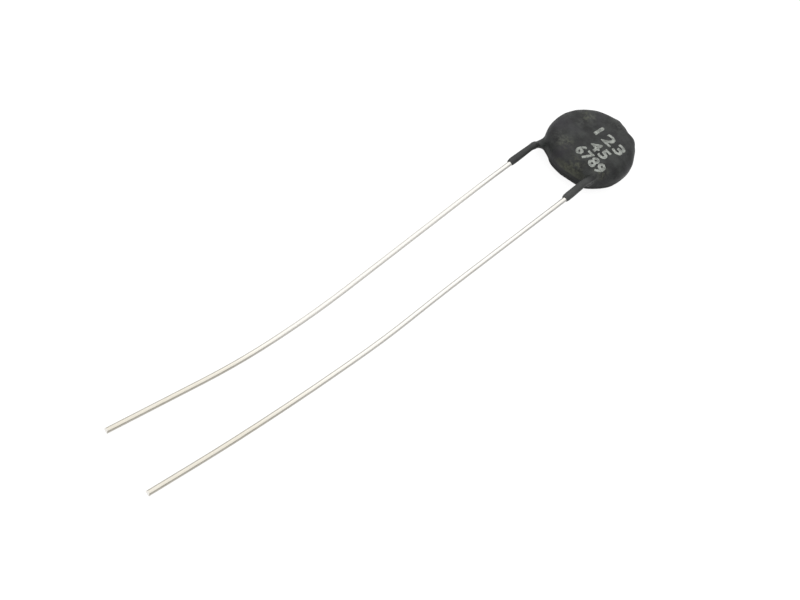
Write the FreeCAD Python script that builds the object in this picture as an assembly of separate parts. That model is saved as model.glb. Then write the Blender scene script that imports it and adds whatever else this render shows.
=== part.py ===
import FreeCAD, Part

import math
import os

from FreeCAD import Vector

# Disc thermistor with two wire leads, in millimetres.
# The back of the dipped disc lies on Z = 0 with its centre at the origin, and its
# front looks along +Z. The left lead is soldered to the back of the ceramic disc and
# the right lead to its front. Both run towards -Y, sloping down until their tips touch
# Z = 0 too, which is how the part lies on a bench.

# Ceramic disc and the silver electrodes fired on its faces
CERAMIC_DIAMETER = 7.6
CERAMIC_THICKNESS = 1.9
CERAMIC_CHAMFER = 0.15
ELECTRODE_THICKNESS = 0.04
ELECTRODE_MARGIN = 0.25

# Leads of tinned copper wire; each reach is from the disc's centre to the tip
LEAD_DIAMETER = 0.511
LEAD_PITCH = 6.35
LEAD_SHIFT = -0.14
LEFT_LEAD_REACH = 56.0
RIGHT_LEAD_REACH = 56.5
NIP_LENGTH = 0.16
NIP_EDGE = 0.1

# Solder mound between each lead and its electrode
SOLDER_FILM = 0.03
SOLDER_DIAMETER = 2.5
SOLDER_INSET = 1.55
SOLDER_RISE = 0.6
LEAD_PROUD_OF_SOLDER = 0.12
LEAD_PAST_SOLDER = 0.2

# Crimps that bring each lead from its face of the disc to mid thickness. Insets are
# measured up from the coated disc's lowest point, and splays outward from the pitch.
LEFT_LEAN_INSET = 2.974
LEFT_CRIMP_INSET = 1.874
LEFT_CRIMP_RUN = 2.05
LEFT_ROOT_SPLAY = 0.44
LEFT_CRIMP_SPLAY = 0.22
RIGHT_LEAN_INSET = 1.974
RIGHT_CRIMP_INSET = 0.674
RIGHT_CRIMP_RUN = 1.55
RIGHT_ROOT_SPLAY = 0.13
RIGHT_CRIMP_SPLAY = -0.1
CRIMP_RADIUS = 1.6

# Bows of the hand-straightened wire below its crimp, as pairs of the share of the way
# to the tip and the sideways distance from the lead's line on the pitch
LEFT_BOWS = [(0.145, 0.19), (0.582, 1.87), (0.748, 1.88)]
LEFT_TIP_OFFSET = 0.44
RIGHT_BOWS = [(0.363, 0.78), (0.512, 1.29), (0.692, 1.31), (0.85, 1.1)]
RIGHT_TIP_OFFSET = 0.65

# Dipped coating: the shell round the disc
COAT_OVER_LEAD = 0.17
RIM_COAT = 0.79
EDGE_ROUNDING = 1.5

# Waves of the coated outline, each with its number of crests, its height and the
# angle of one crest from +X
OUTLINE_WAVES = [(2, 0.087, 39.0), (3, 0.063, -31.0), (4, 0.04, -41.0)]

# Dipped coating: the sleeves that it leaves on the leads; each reach is from the
# disc's centre to the sleeve's thin end
SLEEVE_WALL = 0.13
SLEEVE_END_WALL = 0.04
SLEEVE_TAPER = 0.8
LEFT_SLEEVE_REACH = 8.45
RIGHT_SLEEVE_REACH = 6.85
MENISCUS_RADIUS = 0.35

# How the forms are drawn: points round the outline, the angle of the first one, how near
# the outline's arcs keep to them, corners in each crimp, the share of a run that a long
# bow's arc takes up, and how near counts as touching
OUTLINE_POINTS = 24
OUTLINE_START = 9.0
OUTLINE_FIT = 0.01
CRIMP_CORNERS = 3
BOW_SHARE = 0.45
TOUCH = 0.001

# Radii and levels that follow from the sizes above
lead_radius = LEAD_DIAMETER / 2
ceramic_radius = CERAMIC_DIAMETER / 2
electrode_radius = ceramic_radius - ELECTRODE_MARGIN
coated_radius = ceramic_radius + RIM_COAT
sleeve_radius = lead_radius + SLEEVE_WALL
sleeve_end_radius = lead_radius + SLEEVE_END_WALL
back_lead_z = COAT_OVER_LEAD + lead_radius
back_electrode_z = COAT_OVER_LEAD + LEAD_DIAMETER + SOLDER_FILM
ceramic_z = back_electrode_z + ELECTRODE_THICKNESS
front_electrode_z = ceramic_z + CERAMIC_THICKNESS
front_solder_z = front_electrode_z + ELECTRODE_THICKNESS
coated_thickness = front_electrode_z + ceramic_z
front_lead_z = coated_thickness - back_lead_z
middle_z = coated_thickness / 2
edge_rounding = min(EDGE_ROUNDING, 0.48 * coated_thickness)
solder_height = SOLDER_FILM + LEAD_DIAMETER - LEAD_PROUD_OF_SOLDER
solder_place = electrode_radius - SOLDER_INSET

LEFT = -1
RIGHT = 1
UP = Vector(0, 0, 1)


def toward(start, end):
    """Unit vector from one point to another."""
    return (end - start).normalize()


def lead_route(side, lead_z, lean_inset, crimp_inset, crimp_run, root_splay, crimp_splay,
               bows, tip_offset, reach):
    """Corner points of one lead, from its soldered end to its tip."""
    pitch_line = LEAD_SHIFT + side * LEAD_PITCH / 2
    root_x = pitch_line + side * root_splay
    crimp_x = pitch_line + side * crimp_splay
    solder = Vector(side * solder_place, SOLDER_RISE, lead_z)
    lean = Vector(root_x, lean_inset - coated_radius, lead_z)
    soldered_end = solder + toward(lean, solder) * (SOLDER_DIAMETER / 2 + LEAD_PAST_SOLDER)
    crimp_start = Vector(root_x, crimp_inset - coated_radius, lead_z)
    crimp_end = Vector(crimp_x, crimp_start.y - crimp_run, middle_z)
    tip = Vector(pitch_line + tip_offset, -reach, lead_radius)
    points = [soldered_end, lean, crimp_start, crimp_end]
    for share, offset in bows:
        on_the_way = crimp_end + (tip - crimp_end) * share
        points.append(Vector(pitch_line + offset, on_the_way.y, on_the_way.z))
    points.append(tip)
    return points


def left_route():
    return lead_route(LEFT, back_lead_z, LEFT_LEAN_INSET, LEFT_CRIMP_INSET, LEFT_CRIMP_RUN,
                      LEFT_ROOT_SPLAY, LEFT_CRIMP_SPLAY, LEFT_BOWS, LEFT_TIP_OFFSET,
                      LEFT_LEAD_REACH)


def right_route():
    return lead_route(RIGHT, front_lead_z, RIGHT_LEAN_INSET, RIGHT_CRIMP_INSET, RIGHT_CRIMP_RUN,
                      RIGHT_ROOT_SPLAY, RIGHT_CRIMP_SPLAY, RIGHT_BOWS, RIGHT_TIP_OFFSET,
                      RIGHT_LEAD_REACH)


def corner_arc(before, corner, after, is_crimp):
    """Start, middle and end of the arc that rounds one corner of a route."""
    into = toward(before, corner)
    out = toward(corner, after)
    half_turn = into.getAngle(out) / 2
    cut = BOW_SHARE * min((corner - before).Length, (after - corner).Length)
    if is_crimp:
        cut = min(cut, CRIMP_RADIUS * math.tan(half_turn))
    radius = cut / math.tan(half_turn)
    inward = (out - into).normalize()
    middle = corner + inward * (radius / math.cos(half_turn) - radius)
    return corner - into * cut, middle, corner + out * cut


def route_edges(points):
    """Straight runs joined by tangent arcs: tight at the crimp, long in the bows."""
    edges = []
    start = points[0]
    for i in range(1, len(points) - 1):
        arc = corner_arc(points[i - 1], points[i], points[i + 1], i <= CRIMP_CORNERS)
        edges.append(Part.LineSegment(start, arc[0]).toShape())
        edges.append(Part.Arc(*arc).toShape())
        start = arc[2]
    edges.append(Part.LineSegment(start, points[-1]).toShape())
    return edges


def round_bar(edge, radius):
    """Round bar along one straight or curved edge of a route."""
    start = edge.valueAt(edge.FirstParameter)
    way = edge.tangentAt(edge.FirstParameter)
    section = Part.Face(Part.Wire(Part.makeCircle(radius, start, way)))
    if isinstance(edge.Curve, Part.Line):
        return section.extrude(edge.valueAt(edge.LastParameter) - start)
    turn = math.degrees(edge.LastParameter - edge.FirstParameter)
    return section.revolve(edge.Curve.Center, edge.Curve.Axis, turn)


def round_wire(edges, radius):
    """One solid round wire along the edges of a route."""
    bars = [round_bar(edge, radius) for edge in edges]
    return bars[0].multiFuse(bars[1:]).removeSplitter()


def nip(points):
    """What the cutters take off a tip: all outside a blunt wedge with a level edge."""
    tip = points[-1]
    way = toward(points[-2], tip)
    side = way.cross(UP).normalize()
    top = side.cross(way)
    room = 2 * LEAD_DIAMETER
    shoulder = tip - way * NIP_LENGTH
    outline = [
        tip + top * (NIP_EDGE / 2),
        shoulder + top * lead_radius,
        shoulder + top * room,
        tip + (way + top) * room,
        tip + (way - top) * room,
        shoulder - top * room,
        shoulder - top * lead_radius,
        tip - top * (NIP_EDGE / 2),
    ]
    outline = [point - side * room for point in outline]
    return Part.Face(Part.makePolygon(outline + [outline[0]])).extrude(side * (2 * room))


def lead(points):
    """One lead with its soldered end, crimp, bows and nipped tip."""
    return round_wire(route_edges(points), lead_radius).cut(nip(points))


def sleeve(points, reach):
    """Coating round one lead, from inside the disc to its thin tapered end."""
    edges = route_edges(points)
    straight = edges[2 * CRIMP_CORNERS]
    foot = straight.valueAt(straight.FirstParameter)
    way = straight.tangentAt(straight.FirstParameter)
    end = foot - way * ((foot.y + reach) / way.y)
    taper_start = end - way * SLEEVE_TAPER
    tube_edges = edges[:2 * CRIMP_CORNERS] + [Part.LineSegment(foot, taper_start).toShape()]
    taper = Part.makeCone(sleeve_radius, sleeve_end_radius, SLEEVE_TAPER, taper_start, way)
    return round_wire(tube_edges, sleeve_radius).fuse(taper)


def coated_disc():
    """Dipped body: an uneven round outline with flat faces and a full, rounded rim."""
    points = []
    for i in range(OUTLINE_POINTS):
        angle = math.radians(OUTLINE_START + 360 * i / OUTLINE_POINTS)
        radius = coated_radius
        for crests, height, crest_angle in OUTLINE_WAVES:
            radius += height * math.cos(crests * (angle - math.radians(crest_angle)))
        points.append(Vector(radius * math.cos(angle), radius * math.sin(angle), 0))
    outline = Part.BSplineCurve()
    outline.interpolate(Points=points, PeriodicFlag=True)
    arcs = [arc.toShape() for arc in outline.toBiArcs(OUTLINE_FIT)]
    slab = Part.Face(Part.Wire(arcs)).extrude(UP * coated_thickness)
    rims = [edge for edge in slab.Edges if edge.BoundBox.ZLength < TOUCH]
    return slab.makeFillet(edge_rounding, rims)


def touches(shape, point):
    return shape.distToShape(Part.Vertex(point))[0] < TOUCH


def with_sleeve(skin, disc, tube):
    """Skin with one sleeve added, and a meniscus of coating where it leaves the disc."""
    joined = skin.fuse(tube)
    roots = []
    for edge in joined.Edges:
        middle = edge.valueAt((edge.FirstParameter + edge.LastParameter) / 2)
        if touches(tube, middle) and touches(disc, middle):
            roots.append(edge)
    return joined.makeFillet(MENISCUS_RADIUS, roots)


def ceramic_disc():
    """Pressed and fired ceramic disc with its edges broken."""
    disc = Part.makeCylinder(ceramic_radius, CERAMIC_THICKNESS, Vector(0, 0, ceramic_z))
    rims = [edge for edge in disc.Edges if edge.BoundBox.ZLength < TOUCH]
    return disc.makeChamfer(CERAMIC_CHAMFER, rims)


def electrode(level):
    """Thin silver layer on one face of the ceramic disc."""
    return Part.makeCylinder(electrode_radius, ELECTRODE_THICKNESS, Vector(0, 0, level))


def solder_mound(side, wire):
    """Low round mound of solder on an electrode that holds one wire."""
    ball_radius = ((SOLDER_DIAMETER / 2) ** 2 + solder_height ** 2) / (2 * solder_height)
    base_angle = math.degrees(math.asin(1 - solder_height / ball_radius))
    centre = Vector(side * solder_place, SOLDER_RISE, front_solder_z + solder_height - ball_radius)
    mound = Part.makeSphere(ball_radius, centre, UP, base_angle, 90, 360)
    if side == LEFT:
        mound = mound.mirror(Vector(0, 0, middle_z), UP)
    return mound.cut(wire)


def build():
    """All the pieces by name, each a solid in its place."""
    left_points = left_route()
    right_points = right_route()
    left_lead = lead(left_points)
    right_lead = lead(right_points)
    pieces = {
        "ceramic_disc": ceramic_disc(),
        "back_electrode": electrode(back_electrode_z),
        "front_electrode": electrode(front_electrode_z),
        "back_solder": solder_mound(LEFT, left_lead),
        "front_solder": solder_mound(RIGHT, right_lead),
        "left_lead": left_lead,
        "right_lead": right_lead,
    }
    disc = coated_disc()
    skin = with_sleeve(disc, disc, sleeve(left_points, LEFT_SLEEVE_REACH))
    skin = with_sleeve(skin, disc, sleeve(right_points, RIGHT_SLEEVE_REACH))
    pieces["coating"] = skin.cut(list(pieces.values()))
    return pieces


os.makedirs("parts", exist_ok=True)
for node, shape in build().items():
    shape.exportStep("parts/" + node + ".step")
    print(node, "solids", len(shape.Solids), "valid", shape.isValid(),
          "volume mm3", round(shape.Volume, 3), "faces", len(shape.Faces))
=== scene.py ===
"""Looks of a disc thermistor with two wire leads, dressed over its CAD model."""

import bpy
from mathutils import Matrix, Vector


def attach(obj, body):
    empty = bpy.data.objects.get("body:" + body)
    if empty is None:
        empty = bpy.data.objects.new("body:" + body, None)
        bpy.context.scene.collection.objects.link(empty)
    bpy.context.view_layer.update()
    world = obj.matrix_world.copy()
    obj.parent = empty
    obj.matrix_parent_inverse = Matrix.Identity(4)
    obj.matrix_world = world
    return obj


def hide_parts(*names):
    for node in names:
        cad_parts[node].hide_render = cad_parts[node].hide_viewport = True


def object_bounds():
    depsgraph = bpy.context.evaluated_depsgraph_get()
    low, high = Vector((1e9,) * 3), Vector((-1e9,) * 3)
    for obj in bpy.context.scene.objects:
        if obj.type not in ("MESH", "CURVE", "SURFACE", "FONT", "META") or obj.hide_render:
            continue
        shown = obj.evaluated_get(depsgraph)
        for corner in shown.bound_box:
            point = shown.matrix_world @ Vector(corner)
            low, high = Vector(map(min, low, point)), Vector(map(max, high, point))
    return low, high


bl_info = {
    "name": "Disc thermistor looks",
    "version": (1, 0, 0),
    "blender": (4, 5, 0),
    "location": "3D View > Sidebar > Thermistor",
    "description": "Dipped coating, tinned wires, printed mark and studio for a disc thermistor",
    "category": "Object",
}

import math

import bpy
import numpy as np
from bpy.props import (FloatProperty, FloatVectorProperty, IntProperty, PointerProperty,
                       StringProperty)
from mathutils import Matrix, Vector
from mathutils.bvhtree import BVHTree

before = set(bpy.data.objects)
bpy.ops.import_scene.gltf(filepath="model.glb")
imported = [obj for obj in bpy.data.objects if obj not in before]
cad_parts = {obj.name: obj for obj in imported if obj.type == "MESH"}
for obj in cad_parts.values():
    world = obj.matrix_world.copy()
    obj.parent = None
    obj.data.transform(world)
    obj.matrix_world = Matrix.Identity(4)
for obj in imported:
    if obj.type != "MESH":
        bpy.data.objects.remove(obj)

# Box of the CAD model, which the looks stay inside
CAD_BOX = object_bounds()

# Pieces are shaped in millimetres and brought to metres once they are done
MM_PER_METRE = 1000.0

# CAD nodes that the coating covers, and the two that leave it
INNER_NODES = ["ceramic_disc", "back_electrode", "front_electrode", "back_solder", "front_solder"]
LEAD_NODES = ["left_lead", "right_lead"]
BODY = "root"


def length(name, description, default, **limits):
    """A size in millimetres that a user may change."""
    return FloatProperty(name=name, description=description, default=default, precision=4,
                         min=0.0, **limits)


def colour(name, description, default):
    """A colour in linear values that a user may change."""
    return FloatVectorProperty(name=name, description=description, default=default,
                               subtype="COLOR", size=3, min=0.0, max=1.0)


class CoatingSettings(bpy.types.PropertyGroup):
    """Sizes in millimetres and colours of the dipped coating"""

    voxel: length("Voxel", "Edge of the voxels that the skin is drawn with", 0.06)
    seal: length("Seal", "How near the inner pieces a face of the skin counts as inside", 0.02)
    left_sleeve: length("Left sleeve", "Thickness of the left sleeve near its end", 0.775)
    right_sleeve: length("Right sleeve", "Thickness of the right sleeve near its end", 0.815)
    sink: length("Sink", "How far the coating sinks beside a buried lead", 0.025)
    ridge: length("Ridge", "Half width of the ridge over a buried lead", 1.1)
    melt: IntProperty(name="Melt", default=240,
                      description="How often the skin is smoothed where it runs together")
    lump_depth: length("Lump depth", "Depth of the broad lumps left by the dip", 0.03)
    lump_size: length("Lump size", "Width of the broad lumps", 1.7)
    pit_depth: length("Pit depth", "Depth of the small unevenness", 0.012)
    pit_size: length("Pit size", "Width of the small unevenness", 0.45)
    webs: length("Webs", "Thickness of the webs of coating between the disc and the leads", 0.85)
    dark: colour("Dark", "Bare coating", (0.0032, 0.0037, 0.0035))
    light: colour("Light", "Coating with a film of dust", (0.0135, 0.0150, 0.0138))
    # Painted shade: colour for the lower side of the disc, darker because little light reaches it
    painted_side_shade: colour("Painted side shade", "Coating round the side of the disc", (0.0015, 0.0017, 0.0015))
    sleeve: colour("Sleeve", "Thin coating on the wires", (0.036, 0.037, 0.036))
    pale: colour("Pale", "Pale smudges", (0.038, 0.040, 0.037))
    olive: colour("Olive", "Olive smudges", (0.040, 0.042, 0.029))
    violet: colour("Violet", "Violet tint in places", (0.014, 0.013, 0.016))
    speck: colour("Speck", "Pale specks of dust", (0.08, 0.08, 0.075))


class LeadSettings(bpy.types.PropertyGroup):
    """Sizes in millimetres and colours of the tinned wires"""

    step: length("Step", "Distance between the points of a wire's line", 0.4)
    nip_length: length("Nip length", "Length of the wedge that the cutters leave", 0.16)
    nip_edge: length("Nip edge", "Thickness of the wedge's end", 0.1)
    dent_depth: length("Dent depth", "Depth of the shallow dents along the wire", 0.006)
    dent_size: length("Dent size", "Length of the shallow dents", 0.9)
    tin: colour("Tin", "Tinned surface", (0.450, 0.440, 0.418))
    # Dull colour: a brown film in patches, and painted shade on the wires towards the tips
    dull_and_tip_shade: colour("Dull tin", "Tin with a thin brown film", (0.410, 0.388, 0.338))
    frosted: colour("Frosted tin", "Tin with a fine frost, half way along the wires",
                    (0.520, 0.507, 0.480))
    fresh: colour("Fresh cut", "Metal where the cutters went through", (0.78, 0.76, 0.72))
    # Painted shade towards the tips, where the wires lie near the floor: where it starts and is
    # full
    tip_shade_from: length("Tip shade from", "Distance from the disc where the film starts", 20.0)
    tip_shade_to: length("Tip shade to", "Distance from the disc where the film is full", 50.0)


class MarkSettings(bpy.types.PropertyGroup):
    """Sizes in millimetres and colours of the printed mark, which is plain numbers"""

    rows: StringProperty(name="Rows", description="Digits of each row, with a bar between rows",
                         default="123|45|6789")
    digit_height: length("Digit height", "Height of a digit", 1.24)
    row_width: FloatVectorProperty(name="Row width", description="Width of each row",
                                   default=(3.5, 2.1, 3.4), size=3, min=0.0)
    row_x: FloatVectorProperty(name="Row x", description="Middle of each row along X",
                               default=(1.18, 1.33, 1.55), size=3)
    row_y: FloatVectorProperty(name="Row y", description="Middle of each row along Y",
                               default=(1.11, -0.60, -2.21), size=3)
    thickness: length("Thickness", "How far the ink stands on the coating", 0.008)
    voxel: length("Voxel", "Edge of the voxels that the ink is drawn with", 0.024)
    spread: length("Spread", "How far the ink ran past each stroke, at the most", 0.115)
    spread_size: length("Spread size", "Width of the waves in the edge of the ink", 0.16)
    gap: FloatProperty(name="Gap", description="Room for a digit, as a share of the font's own",
                       default=1.1)
    ink: colour("Ink", "Fresh ink", (0.200, 0.210, 0.192))
    thin: colour("Thin ink", "Ink that has worn thin", (0.085, 0.09, 0.082))


class InnerSettings(bpy.types.PropertyGroup):
    """Colours of the pieces inside the coating"""

    ceramic: colour("Ceramic", "Sintered ceramic between its grains", (0.035, 0.032, 0.03))
    grain: colour("Grain", "Pale grains of the ceramic", (0.085, 0.078, 0.07))
    silver: colour("Silver", "Fired silver in the weave of the print screen", (0.72, 0.71, 0.68))
    bright: colour("Bright silver", "Fired silver where it lies thick", (0.86, 0.85, 0.82))
    solder: colour("Solder", "Solder in the frosted places", (0.46, 0.46, 0.47))
    shiny: colour("Shiny solder", "Solder that set bright", (0.66, 0.66, 0.66))


class StageSettings(bpy.types.PropertyGroup):
    """Camera, lights and floor"""

    azimuth: FloatProperty(name="Azimuth", description="Way round the part that the camera stands",
                           default=math.radians(32.5), subtype="ANGLE")
    elevation: FloatProperty(name="Elevation", description="Height of the camera as an angle",
                             default=math.radians(57.0), subtype="ANGLE")
    roll: FloatProperty(name="Roll", description="Turn of the camera about its line of sight",
                        default=math.radians(19.3), subtype="ANGLE")
    lens: FloatProperty(name="Lens", description="Focal length in millimetres", default=57.78)
    place: FloatVectorProperty(name="Place", description="Where the camera stands, in metres",
                               default=(0.036380, -0.081441, 0.099407), size=3,
                               subtype="TRANSLATION")
    overhead: FloatProperty(name="Overhead", description="Brightness of the tent overhead",
                            default=2.1)
    horizon: FloatProperty(name="Horizon", description="Brightness of the tent at the horizon",
                           default=0.8)
    grey_side: FloatProperty(name="Grey side", description="Share of light from low on the right",
                             default=0.58)
    glow: FloatProperty(name="Glow", description="Light that the floor gives off by itself",
                        default=0.89)
    softbox: FloatProperty(name="Softbox", description="Power of the softbox in watts",
                           default=0.05)
    floor: colour("Floor", "Plain floor", (0.12, 0.12, 0.12))


def choose(piece):
    """Makes a piece the active object and the only one selected."""
    bpy.ops.object.select_all(action="DESELECT")
    piece.select_set(True)
    bpy.context.view_layer.objects.active = piece


def edit_all(piece):
    """Opens a piece in edit mode with all of it selected."""
    choose(piece)
    bpy.ops.object.mode_set(mode="EDIT")
    bpy.ops.mesh.select_all(action="SELECT")


def leave_edit():
    bpy.ops.object.mode_set(mode="OBJECT")


def apply_modifier(piece, kind, **values):
    """Adds a modifier with these settings to a piece and applies it."""
    choose(piece)
    modifier = piece.modifiers.new(kind, kind)
    for name, value in values.items():
        setattr(modifier, name, value)
    bpy.ops.object.modifier_apply(modifier=modifier.name)


def lumps(piece, name, size, depth, level=1.0):
    """Moves a surface in and out by a depth in all, in soft clouds of a size."""
    texture = bpy.data.textures.new(name, "CLOUDS")
    texture.noise_scale = size
    apply_modifier(piece, "DISPLACE", texture=texture, texture_coords="LOCAL",
                   strength=depth, mid_level=level)
    bpy.data.textures.remove(texture)


def remesh(piece, voxel):
    """Draws a closed piece again with even faces."""
    choose(piece)
    piece.data.remesh_voxel_size = voxel
    piece.data.remesh_voxel_adaptivity = 0.0
    bpy.ops.object.voxel_remesh()


def points_of(piece):
    """A piece's vertices as an array."""
    flat = np.zeros(len(piece.data.vertices) * 3)
    piece.data.vertices.foreach_get("co", flat)
    return flat.reshape(-1, 3)


def set_points(piece, points):
    piece.data.vertices.foreach_set("co", points.astype(np.float32).ravel())
    piece.data.update()


def to_metres(piece):
    piece.data.transform(Matrix.Scale(1 / MM_PER_METRE, 4))


def keep_in_box(piece):
    """Holds a finished piece inside the CAD model's box."""
    low, high = (np.array(corner) for corner in CAD_BOX)
    set_points(piece, np.clip(points_of(piece), low, high))


def smooth(piece, angle=None):
    """Shades a piece smooth, with sharp edges where faces meet at more than the angle."""
    choose(piece)
    if angle is None:
        bpy.ops.object.shade_smooth()
    else:
        bpy.ops.object.shade_smooth_by_angle(angle=angle)


def finish_piece(piece, node, material):
    """Sets a piece in place of a CAD node."""
    to_metres(piece)
    keep_in_box(piece)
    piece.data.materials.clear()
    piece.data.materials.append(material)
    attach(piece, BODY)
    if node:
        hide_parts(node)


class Finish:
    """A material being made, with short ways to add its nodes. Patterns are in millimetres."""

    def __init__(self, name, **constants):
        self.material = bpy.data.materials.new(name)
        self.material.use_nodes = True
        self.nodes = self.material.node_tree.nodes
        self.links = self.material.node_tree.links
        self.shader = self.nodes["Principled BSDF"]
        for socket, value in constants.items():
            self.shader.inputs[socket.replace("_", " ")].default_value = value
        where = self.nodes.new("ShaderNodeTexCoord")
        self.place = self.scaled(where.outputs["Object"], (MM_PER_METRE,) * 3)

    def put(self, value, socket):
        """Gives a socket a number, a colour or another node's output."""
        if isinstance(value, bpy.types.NodeSocket):
            self.links.new(value, socket)
        elif hasattr(value, "__len__") and len(value) == 3 and socket.type == "RGBA":
            socket.default_value = (*value, 1.0)
        else:
            socket.default_value = value

    def scaled(self, place, scale, shift=(0.0, 0.0, 0.0)):
        """A place stretched along each axis and moved."""
        node = self.nodes.new("ShaderNodeMapping")
        node.inputs["Scale"].default_value = scale
        node.inputs["Location"].default_value = shift
        self.put(place, node.inputs["Vector"])
        return node.outputs["Vector"]

    def axis(self, name):
        """How far along one axis a place is, in millimetres."""
        node = self.nodes.new("ShaderNodeSeparateXYZ")
        self.put(self.place, node.inputs["Vector"])
        return node.outputs[name]

    def noise(self, size, detail=2.0, rough=0.5, place=None, shift=(0.0, 0.0, 0.0)):
        """Clouds of about a size, from 0 to 1."""
        node = self.nodes.new("ShaderNodeTexNoise")
        node.inputs["Scale"].default_value = 1.0
        node.inputs["Detail"].default_value = detail
        node.inputs["Roughness"].default_value = rough
        source = self.place if place is None else place
        self.put(self.scaled(source, (1 / size,) * 3, shift), node.inputs["Vector"])
        return node.outputs["Fac"]

    def spread(self, value, low, high, to_low=0.0, to_high=1.0):
        """A value's stretch from low to high, brought to another stretch and held there."""
        node = self.nodes.new("ShaderNodeMapRange")
        node.interpolation_type = "SMOOTHSTEP"
        for name, number in (("From Min", low), ("From Max", high),
                             ("To Min", to_low), ("To Max", to_high)):
            node.inputs[name].default_value = number
        self.put(value, node.inputs["Value"])
        return node.outputs["Result"]

    def sum(self, operation, first, second):
        """One sum, such as a product, of two values."""
        node = self.nodes.new("ShaderNodeMath")
        node.operation = operation
        self.put(first, node.inputs[0])
        self.put(second, node.inputs[1])
        return node.outputs["Value"]

    def times(self, first, *others):
        """The product of several values."""
        for other in others:
            first = self.sum("MULTIPLY", first, other)
        return first

    def mix(self, share, first, second):
        """A mix of two colours."""
        node = self.nodes.new("ShaderNodeMix")
        node.data_type = "RGBA"
        self.put(share, node.inputs["Factor"])
        self.put(first, node.inputs["A"])
        self.put(second, node.inputs["B"])
        return node.outputs["Result"]

    def away(self, place, centre=(0.0, 0.0, 0.0)):
        """How far a place is from a centre, in millimetres."""
        node = self.nodes.new("ShaderNodeVectorMath")
        node.operation = "DISTANCE"
        self.put(place, node.inputs[0])
        node.inputs[1].default_value = centre
        return node.outputs["Value"]

    def near(self, centre, radius):
        """One at a centre, fading to nothing at a radius."""
        return self.spread(self.away(self.place, centre), radius, 0.0)

    def bump(self, height, depth, below=None):
        """Adds relief of a depth in millimetres on top of what is below."""
        node = self.nodes.new("ShaderNodeBump")
        node.inputs["Distance"].default_value = depth / MM_PER_METRE
        self.put(height, node.inputs["Height"])
        if below is not None:
            self.put(below, node.inputs["Normal"])
        return node.outputs["Normal"]

    def paint(self, **outputs):
        """Links outputs to the shader's sockets and gives the finished material."""
        for socket, output in outputs.items():
            self.put(output, self.shader.inputs[socket.replace("_", " ")])
        return self.material


# Coating

# How strongly each pass smooths the skin, how many passes it gets once it is drawn again, and
# which level of the clouds stays where the skin was
SMOOTHING = 0.5
SKIN_SMOOTHED = 2
DIP_LEVEL = 0.55

# Smudges of dust on the coating: centre and radius in millimetres
OLIVE_SMUDGES = [((0.9, -3.7, 3.0), 1.5), ((3.3, -2.4, 3.2), 1.4), ((-2.4, 1.5, 3.4), 1.1),
                 ((-1.4, -2.9, 3.4), 1.3)]
PALE_SMUDGES = [((-2.3, 0.2, 3.4), 0.8), ((-1.9, 1.6, 3.4), 1.0), ((-2.2, -2.9, 3.2), 1.5),
                ((0.3, 3.2, 3.3), 1.2)]


# Where the olive dust and painted highlight on the shoulder between the leads come in and go out,
# by height, and their middle and radius; where the painted shade on the disc's lower side comes
# in, by height and by distance from the disc's axis; and where the sleeves turn bare, by that
# distance and more so from left to right
SHOULDER_IN = (1.7, 2.0)
SHOULDER_OUT = (2.8, 2.4)
SHOULDER_SPOT = ((0.9, -4.2, 2.3), 2.6)
SIDE_HEIGHT = (1.95, 1.15)
SIDE_REACH = (5.0, 4.65)
BARE_REACH = (4.85, 5.4)
LEFT_TO_RIGHT = (-3.0, 3.0)

# Shares of the tint, the pale smudges, the specks and the painted side shade where each is full
TINT_SHARE = 0.6
PALE_SHARE = 0.5
SPECK_SHARE = 0.35
SIDE_SHADE_SHARE = 0.7


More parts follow.
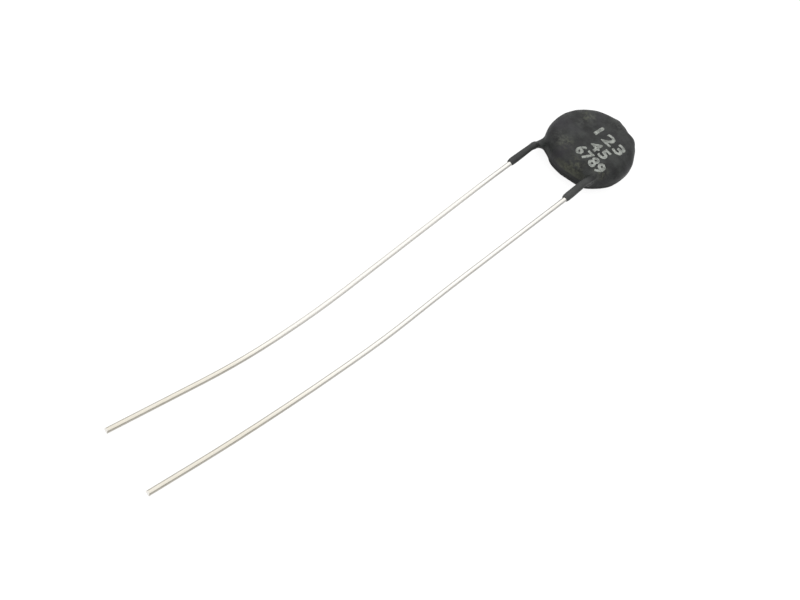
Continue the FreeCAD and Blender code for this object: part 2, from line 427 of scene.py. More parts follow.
def coating_material(settings):
    """Matte black dip: a film of dust, smudges, painted shade on the side and paler sleeves."""
    finish = Finish("dipped_coating", Specular_IOR_Level=0.21, Metallic=0.0)
    film = finish.spread(finish.noise(1.2, detail=5.0, rough=0.66), 0.38, 0.64)
    tint = finish.spread(finish.noise(2.6, shift=(7.0, 3.0, 1.0)), 0.45, 0.75)
    shade = finish.mix(film, tuple(settings.dark), tuple(settings.light))
    shade = finish.mix(finish.times(tint, TINT_SHARE), shade, tuple(settings.violet))
    grain = finish.noise(0.35, detail=5.0, rough=0.65)
    dust = finish.spread(grain, 0.42, 0.66)
    for centre, radius in OLIVE_SMUDGES:
        share = finish.times(finish.near(centre, radius), dust)
        shade = finish.mix(share, shade, tuple(settings.olive))
    for centre, radius in PALE_SMUDGES:
        share = finish.times(finish.near(centre, radius), dust, PALE_SHARE)
        shade = finish.mix(share, shade, tuple(settings.pale))
    height = finish.axis("Z")
    # Olive dust and a painted highlight: a light olive band along the rim's shoulder between the
    # leads
    share = finish.times(finish.spread(height, *SHOULDER_IN), finish.spread(height, *SHOULDER_OUT),
                         finish.near(*SHOULDER_SPOT), finish.spread(grain, 0.3, 0.6, 0.25, 1.0))
    shade = finish.mix(share, shade, tuple(settings.olive))
    specks = finish.spread(finish.noise(0.09), 0.7, 0.8)
    shade = finish.mix(finish.times(specks, SPECK_SHARE), shade, tuple(settings.speck))
    reach = finish.away(finish.scaled(finish.place, (1.0, 1.0, 0.0)))
    # Painted shade: the lower side round the disc's rim turns near black; it is also rougher
    side = finish.times(finish.spread(height, *SIDE_HEIGHT), finish.spread(reach, *SIDE_REACH))
    shade = finish.mix(finish.times(side, SIDE_SHADE_SHARE), shade, tuple(settings.painted_side_shade))
    bare = finish.times(finish.spread(reach, *BARE_REACH),
                        finish.spread(finish.axis("X"), *LEFT_TO_RIGHT, 0.4, 0.85),
                        finish.spread(grain, 0.2, 0.7, 0.75, 1.0))
    shade = finish.mix(bare, shade, tuple(settings.sleeve))
    gloss = finish.noise(0.8, detail=3.0, rough=0.6, shift=(2.0, 9.0, 4.0))
    roughness = finish.sum("MAXIMUM", finish.spread(gloss, 0.3, 0.7, 0.46, 0.62),
                           finish.spread(side, 0.0, 1.0, 0.0, 0.75))
    relief = finish.bump(finish.noise(0.55, detail=3.0, rough=0.55), 0.02)
    relief = finish.bump(grain, 0.006, relief)
    return finish.paint(Base_Color=shade, Roughness=roughness, Normal=relief)


def tree_of(nodes):
    """Search tree over the meshes of several CAD nodes, in metres."""
    corners = []
    faces = []
    for name in nodes:
        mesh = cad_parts[name].data
        first = len(corners)
        corners.extend(v.co.copy() for v in mesh.vertices)
        faces.extend([first + i for i in face.vertices] for face in mesh.polygons)
    return BVHTree.FromPolygons(corners, faces)


def outer_skin(seal):
    """The CAD coating's outer surface in millimetres, closed where the wires come out."""
    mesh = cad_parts["coating"].data.copy()
    piece = bpy.data.objects.new("dipped_coating", mesh)
    bpy.context.scene.collection.objects.link(piece)
    edit_all(piece)
    bpy.ops.mesh.customdata_custom_splitnormals_clear()
    bpy.ops.mesh.remove_doubles(threshold=1e-6)
    bpy.ops.mesh.select_all(action="DESELECT")
    leave_edit()
    tree = tree_of(INNER_NODES + LEAD_NODES)
    inside = [tree.find_nearest(v.co)[3] < seal / MM_PER_METRE for v in mesh.vertices]
    for face in mesh.polygons:
        face.select = all(inside[i] for i in face.vertices)
    bpy.ops.object.mode_set(mode="EDIT")
    bpy.ops.mesh.delete(type="FACE")
    bpy.ops.mesh.select_all(action="SELECT")
    bpy.ops.mesh.fill_holes(sides=0)
    leave_edit()
    mesh.transform(Matrix.Scale(MM_PER_METRE, 4))
    return piece


def fade(distance, limits):
    """One up to the first limit, falling to nothing at the second."""
    return np.clip((limits[1] - distance) / (limits[1] - limits[0]), 0, 1)


def line_distance(points, line):
    """How far each point is from the nearest point of a line of points, seen from above."""
    best = np.full(len(points), np.inf)
    for spot in line:
        best = np.minimum(best, np.hypot(points[:, 0] - spot[0], points[:, 1] - spot[1]))
    return best


def sink_faces(piece, settings, lines):
    """Sinks both flat faces a little, except over the lead that each one covers."""
    points = points_of(piece)
    middle = np.mean([CAD_BOX[0].z, CAD_BOX[1].z]) * MM_PER_METRE
    for line, side in zip(lines, (-1, 1)):
        share = np.clip((points[:, 2] - middle) * side / middle, 0, 1) ** 4
        away = np.clip(line_distance(points, line) / settings.ridge, 0, 1)
        points[:, 2] -= side * settings.sink * share * away ** 2 * (3 - 2 * away)
    set_points(piece, points)


# Waves that the dip adds to the rim, as crests, height and the angle of one crest, how far
# out from the centre the rim ends and the sleeves begin, and below what Y a lead is bare of
# the disc
RIM_WAVES = [(0, -0.009, 0.0), (1, 0.05, 126.5), (3, 0.006, -31.5), (5, 0.022, 20.5)]
RIM_END = 4.65
SLEEVE_START = 4.95
SLEEVE_ROOT_Y = -4.5

# Single dents and swellings of the rim: angle and half width in degrees, and height
RIM_TOUCHES = [(5, 22, -0.03), (37, 14, -0.08), (61, 10, 0.14), (75, 10, -0.13), (87, 8, -0.03),
               (95, 9, 0.12), (128, 14, 0.055), (241, 12, -0.17), (279, 9, -0.07),
               (289, 13, -0.11), (311, 9, 0.12), (330, 22, -0.055)]


# The rim eases in under the CAD model's box over this much, so that it isn't cut off flat
BOX_MARGIN = 0.15


def ease_in(values, limit):
    """Values that come near a limit without passing it."""
    over = np.clip((values - limit) / BOX_MARGIN + 1, 0, None)
    return values + BOX_MARGIN * (np.tanh(over) - over)


def trim_rim(piece):
    """Moves the rim in and out a little, as the coating ran, and leaves the sleeves."""
    points = points_of(piece)
    reach = np.hypot(points[:, 0], points[:, 1])
    angle = np.arctan2(points[:, 1], points[:, 0])
    change = np.zeros(len(points))
    for crests, height, crest_angle in RIM_WAVES:
        change += height * np.cos(crests * (angle - math.radians(crest_angle)))
    for middle, width, height in RIM_TOUCHES:
        off = (np.degrees(angle) - middle + 180) % 360 - 180
        change += height * (1 + np.cos(math.pi * np.clip(off / width, -1, 1))) / 2
    change *= fade(reach, (RIM_END, SLEEVE_START))
    change *= np.clip(reach / RIM_END, 0, 1) ** 2
    points[:, 0] += change * np.cos(angle)
    points[:, 1] += change * np.sin(angle)
    low, high = (np.array(corner) * MM_PER_METRE for corner in CAD_BOX)
    points[:, 1] = ease_in(points[:, 1], high[1])
    disc = reach < SLEEVE_START
    points[disc, 0] = ease_in(points[disc, 0], high[0])
    points[disc, 0] = -ease_in(-points[disc, 0], -low[0])
    set_points(piece, points)


# Thickness of a sleeve as a share of its thickness near its end, by the distance back from
# that end along Y, and the radius of the CAD sleeve by the same distance
SLEEVE_SHAPE = [(0.0, 0.74), (0.12, 0.84), (0.35, 0.97), (0.8, 1.0), (2.0, 0.96), (3.6, 0.86)]
CAD_SLEEVE = [(0.0, 0.2955), (0.8, 0.3855)]

# How near the wire the skin belongs to a sleeve, over what length its new thickness comes in
# at the rim, and how much shorter than the CAD sleeve it looks, drawn from what length
SLEEVE_NEAR = 0.6
SLEEVE_BLEND = 0.5
SLEEVE_SHORTER = 0.12
SLEEVE_DRAWN = 1.0


def shape_sleeve(piece, line, thickness):
    """Swells a sleeve towards its end, where the drip dried, and rounds its end off."""
    points = points_of(piece)
    along = np.interp(points[:, 1], line[:, 1], np.arange(len(line)))
    centre = np.column_stack([np.interp(along, np.arange(len(line)), line[:, i])
                              for i in range(3)])
    out = points - centre
    out[:, 1] = 0
    reach = np.linalg.norm(out, axis=1)
    near = (reach < SLEEVE_NEAR) & (points[:, 1] < -RIM_END)
    back = points[:, 1] - points[near, 1].min()
    wanted = np.interp(back, *zip(*SLEEVE_SHAPE)) * thickness / 2
    present = np.interp(back, *zip(*CAD_SLEEVE))
    blend = np.clip((-RIM_END - points[:, 1]) / SLEEVE_BLEND, 0, 1)
    scale = 1 + (wanted / present - 1) * blend
    points[near, 0] += (out[:, 0] * (scale - 1))[near]
    points[near, 2] += (out[:, 2] * (scale - 1))[near]
    points[near, 1] += SLEEVE_SHORTER * fade(back, (0, SLEEVE_DRAWN))[near]
    set_points(piece, points)


# Where the sleeves leave the rim and how far each leans to the left, there and LEAN_RUN below;
# over what length the lean comes in, and how near the wire the skin leans with it
ROOT_Y = (-3.0, -3.5)
SLEEVE_LEAN = ((0.06, 0.06), (0.11, 0.05))
LEAN_RUN = 3.0
LEAN_IN = 0.9
LEAN_NEAR = (0.6, 0.9)

# Where the skin runs together: round the buried leads, by the distance from the wire and from
# the disc's axis; a little all over the disc; and in a spot at each root, by its middle
MELT_WIDTH = (0.7, 1.7)
MELT_REACH = (4.35, 4.8)
DISC_MELT = 0.08
DISC_REACH = (4.7, 5.0)
MELT_SPOTS = [((-3.55, -3.3, 1.2), (0.5, 1.1)), ((3.12, -3.75, 2.1), (0.4, 1.0))]

# Webs of coating under the knee of each lead: share of the thickness each way, and middle
WEBS = [((1.0, 1.9, 1.0), (-3.58, -3.35, 1.15)), ((0.9, 1.0, 1.2), (3.14, -3.62, 2.12))]


def lean_sleeve(piece, line, root, lean):
    """Moves a sleeve a little to the left of its wire, where the dip ran thicker."""
    points = points_of(piece)
    along = np.interp(points[:, 1], line[:, 1], np.arange(len(line)))
    x, z = (np.interp(along, np.arange(len(line)), line[:, i]) for i in (0, 2))
    reach = np.hypot(points[:, 0] - x, points[:, 2] - z)
    share = fade(reach, LEAN_NEAR) * np.clip((root - points[:, 1]) / LEAN_IN, 0, 1)
    points[:, 0] -= share * np.interp(-points[:, 1], (-root, LEAN_RUN - root), lean)
    set_points(piece, points)


def melt_roots(piece, times, lines):
    """Lets the disc and each sleeve run together, and evens the disc out a little."""
    points = points_of(piece)
    reach = np.hypot(points[:, 0], points[:, 1])
    share = np.zeros(len(points))
    for line in lines:
        share = np.maximum(share, fade(line_distance(points, line), MELT_WIDTH))
    share *= fade(reach, MELT_REACH)
    share = np.maximum(share, DISC_MELT * fade(reach, DISC_REACH))
    for centre, width in MELT_SPOTS:
        share = np.maximum(share, fade(np.linalg.norm(points - centre, axis=1), width))
    group = piece.vertex_groups.new(name="roots")
    for i in np.flatnonzero(share):
        group.add([int(i)], float(share[i]), "REPLACE")
    apply_modifier(piece, "SMOOTH", factor=SMOOTHING, iterations=times, vertex_group="roots")
    piece.vertex_groups.remove(piece.vertex_groups["roots"])


def web(thickness, shape, middle):
    """A lump of coating between the disc and a lead, from a ball one millimetre across."""
    bpy.ops.object.select_all(action="DESELECT")
    bpy.ops.mesh.primitive_uv_sphere_add(segments=48, ring_count=24, radius=0.5,
                                         location=(0, 0, 0))
    piece = bpy.context.object
    set_points(piece, points_of(piece) * thickness * np.array(shape) + middle)
    return piece


class THERMISTOR_OT_coating(bpy.types.Operator):
    """Dipped coating: the disc, the sleeves on the wires and the menisci between them"""

    bl_idname = "thermistor.coating"
    bl_label = "Dipped coating"

    def execute(self, context):
        settings = context.scene.thermistor_coating
        piece = outer_skin(settings.seal)
        webs = [web(settings.webs, shape, middle) for shape, middle in WEBS]
        choose(piece)
        for lump in webs:
            lump.select_set(True)
        bpy.ops.object.join()
        remesh(piece, settings.voxel)
        apply_modifier(piece, "SMOOTH", factor=SMOOTHING, iterations=SKIN_SMOOTHED)
        lines = [wire_line(name, context.scene.thermistor_leads.step) for name in LEAD_NODES]
        trim_rim(piece)
        for line, thickness in zip(lines, (settings.left_sleeve, settings.right_sleeve)):
            shape_sleeve(piece, line, thickness)
        for line, root, lean in zip(lines, ROOT_Y, SLEEVE_LEAN):
            lean_sleeve(piece, line, root, lean)
        buried = [line[line[:, 1] > SLEEVE_ROOT_Y] for line in lines]
        sink_faces(piece, settings, buried)
        melt_roots(piece, settings.melt, buried)
        lumps(piece, "broad_lumps", settings.lump_size, settings.lump_depth, DIP_LEVEL)
        lumps(piece, "small_pits", settings.pit_size, settings.pit_depth, DIP_LEVEL)
        smooth(piece)
        finish_piece(piece, "coating", coating_material(settings))
        return {"FINISHED"}


# Leads

# A lead's section is looked for this far round its middle, and its tip this near the end; a
# section counts when it crosses this many edges
SECTION_REACH = 0.45
TIP_REACH = 0.02
FEWEST_CROSSINGS = 8

# How finely the wires are drawn along and round their line, and the sharpest bend between
# faces that is shaded smooth
WIRE_RESOLUTION = 2
WIRE_ROUNDNESS = 8
WIRE_CREASE = math.radians(35)

# A face of the cut lies this near the tip, in lengths of the nip, and faces this much outward
CUT_NEAR = 1.5
CUT_FACING = 0.4

# Where the frost on the wires comes in from the tips and goes out towards the disc, along Y,
# and from the right wire, which has less of it, to the left one
FROST_IN = (-46.0, -34.0)
FROST_OUT = (-10.0, -15.0)
RIGHT_TO_LEFT = (2.0, -1.0)


def edges_of(name):
    """Both ends of each edge of a CAD node's mesh, in millimetres."""
    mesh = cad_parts[name].data
    corners = np.array([v.co for v in mesh.vertices]) * MM_PER_METRE
    pairs = np.array([edge.vertices[:] for edge in mesh.edges])
    return corners[pairs[:, 0]], corners[pairs[:, 1]]


def section_centre(starts, ends, middle, way):
    """Centre of the round section that a plane cuts from a wire, or None past its end."""
    before = (starts - middle) @ way
    after = (ends - middle) @ way
    crossing = before * after < 0
    if not crossing.any():
        return None
    share = before[crossing] / (before[crossing] - after[crossing])
    rim = starts[crossing] + (ends[crossing] - starts[crossing]) * share[:, None]
    rim = rim[np.linalg.norm(rim - middle, axis=1) < SECTION_REACH]
    if len(rim) < FEWEST_CROSSINGS:
        return None
    across = np.cross(way, (0.0, 0.0, 1.0))
    across /= np.linalg.norm(across)
    upward = np.cross(across, way)
    u = (rim - middle) @ across
    v = (rim - middle) @ upward
    fit = np.linalg.lstsq(np.column_stack([2 * u, 2 * v, np.ones(len(u))]), u * u + v * v,
                          rcond=None)[0]
    return middle + across * fit[0] + upward * fit[1]


def wire_line(name, step):
    """Points along the middle of a lead, from its nipped tip to its soldered end."""
    starts, ends = edges_of(name)
    corners = np.concatenate([starts, ends])
    lowest = corners[:, 1].min()
    tip = corners[corners[:, 1] < lowest + TIP_REACH].mean(axis=0)
    way = np.array([0.0, 1.0, 0.0])
    line = []
    middle = tip + way * step
    while True:
        centre = section_centre(starts, ends, middle, way)
        if centre is None:
            break
        if line:
            way = (centre - line[-1]) / np.linalg.norm(centre - line[-1])
        line.append(centre)
        middle = centre + way * step
    near = corners[np.linalg.norm(corners - line[-1], axis=1) < step + SECTION_REACH]
    last = line[-1] + way * ((near - line[-1]) @ way).max()
    first_way = (line[0] - line[1]) / np.linalg.norm(line[0] - line[1])
    near = corners[np.linalg.norm(corners - line[0], axis=1) < step + SECTION_REACH]
    first = line[0] + first_way * ((near - line[0]) @ first_way).max()
    return np.array([first] + line + [last])


def wire_radius(name, line):
    """Radius of a lead, from the corners of its section nearest the middle of the line."""
    starts, ends = edges_of(name)
    corners = np.concatenate([starts, ends])
    best = []
    for before, after in zip(line[2:-3], line[3:-2]):
        way = (after - before) / np.linalg.norm(after - before)
        along = (corners - before) @ way
        close = corners[(along > 0) & (along < np.linalg.norm(after - before))]
        out = close - before - np.outer((close - before) @ way, way)
        reach = np.linalg.norm(out, axis=1)
        reach = reach[reach < SECTION_REACH]
        if len(reach):
            best.append(np.median(reach))
    return float(np.median(best))


def round_wire(name, line, radius):
    """Round wire along a line, as a bevelled curve made a mesh."""
    bpy.ops.object.select_all(action="DESELECT")
    bpy.ops.curve.primitive_nurbs_path_add(location=(0, 0, 0))
    piece = bpy.context.object
    piece.name = name
    curve = piece.data
    curve.splines.remove(curve.splines[0])
    spline = curve.splines.new("NURBS")
    spline.points.add(len(line) - 1)
    for point, place in zip(spline.points, line):
        point.co = (*place, 1.0)
    spline.order_u = 3
    spline.use_endpoint_u = True
    spline.resolution_u = WIRE_RESOLUTION
    curve.bevel_depth = radius
    curve.bevel_resolution = WIRE_ROUNDNESS
    curve.use_fill_caps = True
    choose(piece)
    bpy.ops.object.convert(target="MESH")
    edit_all(piece)
    bpy.ops.mesh.remove_doubles(threshold=1e-4)
    bpy.ops.mesh.normals_make_consistent(inside=False)
    leave_edit()
    return piece


def nip_tip(piece, line, radius, settings):
    """Cuts a wire's tip to a blunt wedge with a level edge, as side cutters leave it."""
    tip = Vector(line[0])
    way = (tip - Vector(line[1])).normalized()
    side = way.cross(Vector((0, 0, 1))).normalized()
    top = side.cross(way)
    for sign in (1, -1):
        edge = tip + top * (sign * settings.nip_edge / 2)
        shoulder = tip - way * settings.nip_length + top * (sign * radius)
        outward = side.cross(edge - shoulder).normalized()
        if outward.dot(top * sign) < 0:
            outward.negate()
        edit_all(piece)
        bpy.ops.mesh.bisect(plane_co=edge, plane_no=outward, use_fill=True, clear_outer=True,
                            threshold=1e-5)
        leave_edit()


def wire_material(settings):
    """Tinned copper wire: drawn streaks, frosted middle, dull patches, painted shade at the tips.
    """
    finish = Finish("tinned_wire", Metallic=1.0)
    streaks = finish.noise(1.0, place=finish.scaled(finish.place, (14.0, 0.35, 14.0)))
    cloud = finish.noise(1.0, detail=3.0, rough=0.6,
                         place=finish.scaled(finish.place, (1.2, 0.22, 1.2)))
    along = finish.axis("Y")
    # Painted shade: darker, browner tin towards the tips, where the wires lie near the floor; film
    # in patches all along
    film = finish.times(finish.spread(along, -settings.tip_shade_from, -settings.tip_shade_to),
                        finish.spread(cloud, 0.2, 0.6, 0.6, 1.0))
    film = finish.sum("MAXIMUM", film, finish.spread(cloud, 0.5, 0.8, 0.0, 0.5))
    shade = finish.mix(film, tuple(settings.tin), tuple(settings.dull_and_tip_shade))
    frost = finish.times(finish.spread(along, *FROST_IN), finish.spread(along, *FROST_OUT),
                         finish.spread(finish.axis("X"), *RIGHT_TO_LEFT, 0.45, 1.0))
    shade = finish.mix(frost, shade, tuple(settings.frosted))
    roughness = finish.sum("MAXIMUM", finish.spread(streaks, 0.25, 0.75, 0.2, 0.34),
                           finish.spread(frost, 0.0, 1.0, 0.2, 0.5))
    relief = finish.bump(streaks, 0.004)
    relief = finish.bump(finish.noise(0.5), 0.006, relief)
    return finish.paint(Base_Color=shade, Roughness=roughness, Normal=relief)


def cut_material(settings):
    """Bare metal of a fresh cut: bright, with the marks of the cutters."""
    finish = Finish("fresh_cut", Metallic=1.0, Roughness=0.3, Base_Color=(*settings.fresh, 1.0))
    return finish.paint(Normal=finish.bump(finish.noise(0.06), 0.004))


def mark_cut(piece, line, settings):
    """Gives the second material to the faces that the cutters left at a wire's tip."""
    tip = Vector(line[0]) / MM_PER_METRE
    way = (Vector(line[0]) - Vector(line[1])).normalized()
    near = CUT_NEAR * (settings.nip_length + settings.nip_edge) / MM_PER_METRE
    for face in piece.data.polygons:
        if (face.center - tip).length < near and face.normal.dot(way) > CUT_FACING:
            face.material_index = 1


class THERMISTOR_OT_leads(bpy.types.Operator):
    """Both tinned wire leads, with their crimps, bows, shallow dents and nipped tips"""

    bl_idname = "thermistor.leads"
    bl_label = "Tinned leads"

    def execute(self, context):
        settings = context.scene.thermistor_leads
        material = wire_material(settings)
        cut = cut_material(settings)
        for node in LEAD_NODES:
            line = wire_line(node, settings.step)
            radius = wire_radius(node, line)
            piece = round_wire("tinned_" + node, line, radius)
            lumps(piece, "wire_dents", settings.dent_size, settings.dent_depth)
            nip_tip(piece, line, radius, settings)
            smooth(piece, WIRE_CREASE)
            finish_piece(piece, node, material)
            piece.data.materials.append(cut)
            mark_cut(piece, line, settings)
        return {"FINISHED"}


# Printed mark

# Voxels in the thickness of the digits before they are laid down, the sharpest bend between
# faces that is shaded smooth, the share of bare coating where the ink has worn through, and
# how far above the part, in metres, the digits are laid down from
INK_VOXELS = 4
INK_CREASE = math.radians(40)
WORN_SHARE = 0.75
LAID_FROM = 0.001


def ink_material(settings, bare):
    """Pale stamped ink, worn thin in places and rubbed through to the coating."""
    finish = Finish("stamped_ink", Specular_IOR_Level=0.3, Metallic=0.0)
    thin = finish.spread(finish.noise(0.5, detail=4.0, rough=0.65), 0.38, 0.68)
    worn = finish.spread(finish.noise(0.16, detail=3.0, rough=0.6, shift=(3.0, 5.0, 8.0)),
                         0.5, 0.7)
    shade = finish.mix(thin, tuple(settings.ink), tuple(settings.thin))
    shade = finish.mix(finish.times(worn, WORN_SHARE), shade, bare)
    relief = finish.bump(finish.noise(0.12, detail=3.0, rough=0.6), 0.006)
    return finish.paint(Base_Color=shade, Roughness=0.6, Normal=relief)


def row_of_digits(text, width, height, middle, settings):
    """One row of digits as a thick flat mesh of a width and height about a middle."""
    bpy.ops.object.select_all(action="DESELECT")
    bpy.ops.object.text_add(location=(0, 0, 0))
    piece = bpy.context.object
    letters = piece.data
    letters.body = text
    letters.space_character = settings.gap
    letters.extrude = 0.5
    bpy.ops.object.convert(target="MESH")
    points = points_of(piece)
    low, high = points.min(axis=0), points.max(axis=0)
    points -= (low + high) / 2
    points *= np.array([width, height, INK_VOXELS * settings.voxel]) / (high - low)
    points[:, :2] += middle
    set_points(piece, points)
    return piece


def printed_digits(settings):
    """All rows of digits as one closed mesh with worn edges, lying flat."""
    pieces = []
    for i, text in enumerate(settings.rows.split("|")):
        middle = (settings.row_x[i], settings.row_y[i])
        pieces.append(row_of_digits(text, settings.row_width[i], settings.digit_height, middle,
                                    settings))
    choose(pieces[0])
    for piece in pieces[1:]:
        piece.select_set(True)
    bpy.ops.object.join()
    piece = bpy.context.object
    piece.name = "printed_mark"
    remesh(piece, settings.voxel)
    lumps(piece, "ink_spread", settings.spread_size, settings.spread, 0.0)
    remesh(piece, settings.voxel)
    return piece


def lay_on(piece, skin, thickness, sunk):
    """Lays a flat piece on the skin below it: its top stands proud and its base is sunk."""
    tree = BVHTree.FromObject(skin, bpy.context.evaluated_depsgraph_get())
    points = points_of(piece)
    above = CAD_BOX[1].z + LAID_FROM
    for i, (x, y, z) in enumerate(points):
        spot = Vector((x / MM_PER_METRE, y / MM_PER_METRE, above))
        hit = tree.ray_cast(spot, Vector((0, 0, -1)))[0]
        if hit is None:
            raise RuntimeError("the printed mark reaches past the disc")
        points[i, 2] = hit.z * MM_PER_METRE + (thickness if z > 0 else -sunk)
    set_points(piece, points)


class THERMISTOR_OT_mark(bpy.types.Operator):
    """Printed mark: plain digits stamped on the front in pale ink"""

    bl_idname = "thermistor.mark"
    bl_label = "Printed mark"

    def execute(self, context):
        settings = context.scene.thermistor_mark
        skin = bpy.data.objects["dipped_coating"]
        piece = printed_digits(settings)
        lay_on(piece, skin, settings.thickness, settings.voxel)
        smooth(piece, INK_CREASE)
        bare = tuple(context.scene.thermistor_coating.light)
        finish_piece(piece, None, ink_material(settings, bare))
        return {"FINISHED"}


# Inner pieces

def ceramic_material(settings):
    """Sintered ceramic: dark, grainy and matte."""
    finish = Finish("sintered_ceramic", Specular_IOR_Level=0.3)
    grain = finish.noise(0.08, detail=4.0, rough=0.7)
    shade = finish.mix(grain, tuple(settings.ceramic), tuple(settings.grain))
    relief = finish.bump(grain, 0.01)
    return finish.paint(Base_Color=shade, Roughness=0.8, Normal=relief)


def silver_material(settings):
    """Fired silver: pale and satin, with the weave of the print screen in it."""
    finish = Finish("fired_silver", Metallic=1.0)
    weave = finish.noise(0.12, detail=3.0, rough=0.6)
    shade = finish.mix(weave, tuple(settings.silver), tuple(settings.bright))
    roughness = finish.spread(weave, 0.3, 0.7, 0.42, 0.6)
    return finish.paint(Base_Color=shade, Roughness=roughness, Normal=finish.bump(weave, 0.006))


def solder_material(settings):
    """Solder: bright grey with a frosted grain."""
    finish = Finish("soft_solder", Metallic=1.0)
    frost = finish.noise(0.2, detail=4.0, rough=0.6)
    shade = finish.mix(frost, tuple(settings.solder), tuple(settings.shiny))
    roughness = finish.spread(frost, 0.3, 0.7, 0.22, 0.45)
    return finish.paint(Base_Color=shade, Roughness=roughness, Normal=finish.bump(frost, 0.01))


class THERMISTOR_OT_inner(bpy.types.Operator):
    """Finishes of the pieces inside the coating: ceramic disc, electrodes and solder"""

    bl_idname = "thermistor.inner"
    bl_label = "Inner pieces"

    def execute(self, context):
        settings = context.scene.thermistor_inner
        silver = silver_material(settings)
        solder = solder_material(settings)
        finishes = {"ceramic_disc": ceramic_material(settings), "back_electrode": silver,
                    "front_electrode": silver, "back_solder": solder, "front_solder": solder}
        for node, material in finishes.items():
            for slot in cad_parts[node].material_slots:
                slot.material = material
        return {"FINISHED"}


# Stage

# The floor's edge and how far it lies below the part, in metres
FLOOR_SIZE = 4.0
FLOOR_DROP = 0.00001

# How far up the tent reaches its full brightness, how far to the right its grey side comes
# in, and how far up that goes out, each as a share of the way
TENT_RISE = (0.0, 0.6)
GREY_RIGHT = (0.55, 0.78)
GREY_TOP = (0.45, 0.65)

# Where the softbox hangs and its edge, in metres
SOFTBOX_PLACE = (-0.12, 0.10, 0.22)
SOFTBOX_SIZE = 0.16


def floor_material(settings):
    """Matte white floor, lit a little from below."""
    finish = Finish("plain_floor", Specular_IOR_Level=0.0, Roughness=1.0,
                    Base_Color=(*settings.floor, 1.0), Emission_Color=(1.0, 1.0, 1.0, 1.0),
                    Emission_Strength=settings.glow)
    return finish.material


def light_tent(settings):
    """World light: a white tent, brightest overhead, with a grey side low on the right."""
    world = bpy.data.worlds.new("light_tent")
    bpy.context.scene.world = world
    world.use_nodes = True
    nodes, links = world.node_tree.nodes, world.node_tree.links
    where = nodes.new("ShaderNodeTexCoord")
    parts = nodes.new("ShaderNodeSeparateXYZ")
    links.new(where.outputs["Generated"], parts.inputs["Vector"])

    def ramp(axis, low, high, to_low, to_high):
        node = nodes.new("ShaderNodeMapRange")
        node.interpolation_type = "SMOOTHSTEP"
        for name, value in (("From Min", low), ("From Max", high),
                            ("To Min", to_low), ("To Max", to_high)):
            node.inputs[name].default_value = value
        links.new(parts.outputs[axis], node.inputs["Value"])
        return node.outputs["Result"]

    def sum_of(operation, first, second):
        node = nodes.new("ShaderNodeMath")
        node.operation = operation
        links.new(first, node.inputs[0])
        links.new(second, node.inputs[1])
        return node.outputs["Value"]

    tent = ramp("Z", *TENT_RISE, settings.horizon, settings.overhead)
    grey = sum_of("MAXIMUM", ramp("X", *GREY_RIGHT, 1.0, settings.grey_side),
                  ramp("Z", *GREY_TOP, settings.grey_side, 1.0))
    links.new(sum_of("MULTIPLY", tent, grey), nodes["Background"].inputs["Strength"])
    nodes["Background"].inputs["Color"].default_value = (1.0, 1.0, 1.0, 1.0)


def softbox(settings):
    """A soft light high on the left, behind the disc."""
    place = Vector(SOFTBOX_PLACE)
    bpy.ops.object.light_add(type="AREA", location=place)
    light = bpy.context.object
    light.name = "softbox"
    light.rotation_mode = "QUATERNION"
    light.rotation_quaternion = (-place).to_track_quat("-Z", "Y")
    light.data.size = SOFTBOX_SIZE
    light.data.energy = settings.softbox


def camera(settings):
    """The camera of the photograph: its place, line of sight, roll and lens."""
    around, rise = settings.azimuth, settings.elevation
    back = Vector((math.sin(around) * math.cos(rise), -math.cos(around) * math.cos(rise),
                   math.sin(rise)))
    right = Vector((math.cos(around), math.sin(around), 0))
    turned = Matrix.Rotation(settings.roll, 3, back) @ right
    upward = back.cross(turned)
    bpy.ops.object.camera_add(location=settings.place)
    eye = bpy.context.object
    eye.name = "camera"
    eye.matrix_world = Matrix.Translation(settings.place) @ Matrix(
        (turned, upward, back)).transposed().to_4x4()
    eye.data.lens = settings.lens
    eye.data.sensor_width = 36.0
    eye.data.clip_start = 0.001
    eye.data.clip_end = 10.0
    bpy.context.scene.camera = eye


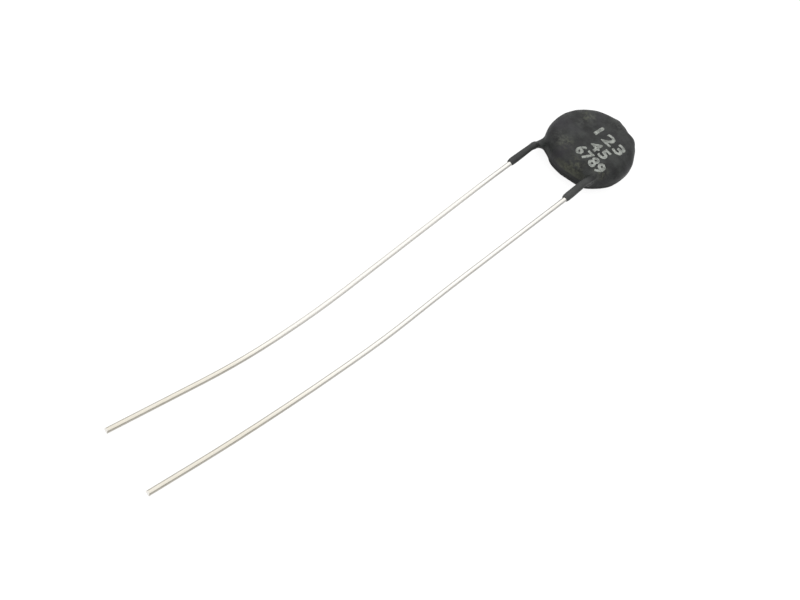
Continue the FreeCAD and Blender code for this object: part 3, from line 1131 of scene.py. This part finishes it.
class THERMISTOR_OT_stage(bpy.types.Operator):
    """Plain floor, light tent, softbox and camera"""

    bl_idname = "thermistor.stage"
    bl_label = "Stage"

    def execute(self, context):
        settings = context.scene.thermistor_stage
        bpy.ops.object.select_all(action="DESELECT")
        bpy.ops.mesh.primitive_plane_add(size=FLOOR_SIZE, location=(0, 0, -FLOOR_DROP))
        floor = bpy.context.object
        floor.name = "floor"
        floor.data.materials.append(floor_material(settings))
        light_tent(settings)
        softbox(settings)
        camera(settings)
        context.scene.view_settings.view_transform = "Standard"
        return {"FINISHED"}


class THERMISTOR_PT_looks(bpy.types.Panel):
    """Lists the steps and their settings in the sidebar"""

    bl_idname = "THERMISTOR_PT_looks"
    bl_label = "Thermistor looks"
    bl_space_type = "VIEW_3D"
    bl_region_type = "UI"
    bl_category = "Thermistor"

    def draw(self, context):
        for operator, group in STEPS:
            box = self.layout.box()
            box.operator(operator)
            settings = getattr(context.scene, group)
            for name in settings.__annotations__:
                box.prop(settings, name)


# Operators in the order that they run, each with its settings on the scene
STEPS = [
    ("thermistor.coating", "thermistor_coating"),
    ("thermistor.leads", "thermistor_leads"),
    ("thermistor.mark", "thermistor_mark"),
    ("thermistor.inner", "thermistor_inner"),
    ("thermistor.stage", "thermistor_stage"),
]

GROUPS = {
    "thermistor_coating": CoatingSettings,
    "thermistor_leads": LeadSettings,
    "thermistor_mark": MarkSettings,
    "thermistor_inner": InnerSettings,
    "thermistor_stage": StageSettings,
}

CLASSES = [
    *GROUPS.values(),
    THERMISTOR_OT_coating,
    THERMISTOR_OT_leads,
    THERMISTOR_OT_mark,
    THERMISTOR_OT_inner,
    THERMISTOR_OT_stage,
    THERMISTOR_PT_looks,
]


def register():
    for kind in CLASSES:
        bpy.utils.register_class(kind)
    for name, group in GROUPS.items():
        setattr(bpy.types.Scene, name, PointerProperty(type=group))


def unregister():
    for name in GROUPS:
        delattr(bpy.types.Scene, name)
    for kind in reversed(CLASSES):
        bpy.utils.unregister_class(kind)


def main():
    """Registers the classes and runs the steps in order."""
    register()
    bpy.ops.object.select_all(action="DESELECT")
    for operator, _ in STEPS:
        family, name = operator.split(".")
        getattr(getattr(bpy.ops, family), name)()


if __name__ == "__main__":
    main()
